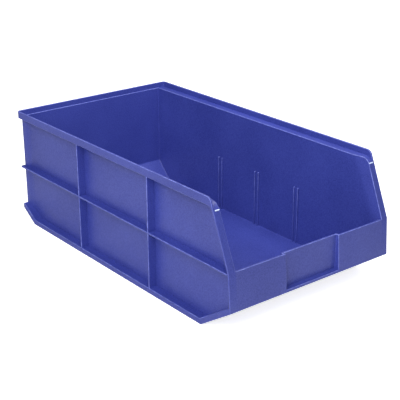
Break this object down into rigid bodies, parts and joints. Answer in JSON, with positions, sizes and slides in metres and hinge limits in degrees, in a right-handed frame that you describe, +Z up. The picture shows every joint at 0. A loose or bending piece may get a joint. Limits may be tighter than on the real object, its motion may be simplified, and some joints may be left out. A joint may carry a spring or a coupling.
{
  "type": "hanging parts bin",
  "caption": "Open hopper-front storage bin in moulded plastic, with a low scoop lip, stacking rim, ribbed sides, base rails and a rear hanger for a louvred panel or rail.",
  "frame": {"origin": "middle of the footprint, on the surface that the bin stands on", "axes": "+X to the right of someone who faces the bin's back wall from the front, +Y from the front lip to the rear wall, +Z up"},
  "size_m": [0.28, 0.5164, 0.178],
  "materials": {
    "polypropylene": "fine matt moulded polypropylene, blue"
  },
  "bodies": {
    "root": {"floor_panel": "polypropylene", "front_panel_left": "polypropylene", "front_panel_right": "polypropylene", "front_ramp": "polypropylene", "hanger_lip": "polypropylene", "hanger_web": "polypropylene", "label_panel": "polypropylene", "label_return_left": "polypropylene", "label_return_right": "polypropylene", "label_shelf": "polypropylene", "left_corner_post": "polypropylene", "left_front_flange": "polypropylene", "left_mid_rib": "polypropylene", "left_rail_front_rise": "polypropylene", "left_rail_rear_rise": "polypropylene", "left_rail_run": "polypropylene", "left_rim_corner": "polypropylene", "left_rim_ledge": "polypropylene", "left_rim_lip": "polypropylene", "left_side_wall": "polypropylene", "left_slot_1a": "polypropylene", "left_slot_1b": "polypropylene", "left_slot_2a": "polypropylene", "left_slot_2b": "polypropylene", "left_slot_3a": "polypropylene", "left_slot_3b": "polypropylene", "left_standoff": "polypropylene", "left_upright_1_lower": "polypropylene", "left_upright_1_upper": "polypropylene", "left_upright_2_lower": "polypropylene", "left_upright_2_upper": "polypropylene", "rear_ramp": "polypropylene", "rear_rim_lip": "polypropylene", "rear_wall": "polypropylene", "right_corner_post": "polypropylene", "right_front_flange": "polypropylene", "right_mid_rib": "polypropylene", "right_rail_front_rise": "polypropylene", "right_rail_rear_rise": "polypropylene", "right_rail_run": "polypropylene", "right_rim_corner": "polypropylene", "right_rim_ledge": "polypropylene", "right_rim_lip": "polypropylene", "right_side_wall": "polypropylene", "right_slot_1a": "polypropylene", "right_slot_1b": "polypropylene", "right_slot_2a": "polypropylene", "right_slot_2b": "polypropylene", "right_slot_3a": "polypropylene", "right_slot_3b": "polypropylene", "right_standoff": "polypropylene", "right_upright_1_lower": "polypropylene", "right_upright_1_upper": "polypropylene", "right_upright_2_lower": "polypropylene", "right_upright_2_upper": "polypropylene"}
  },
  "joints": []
}
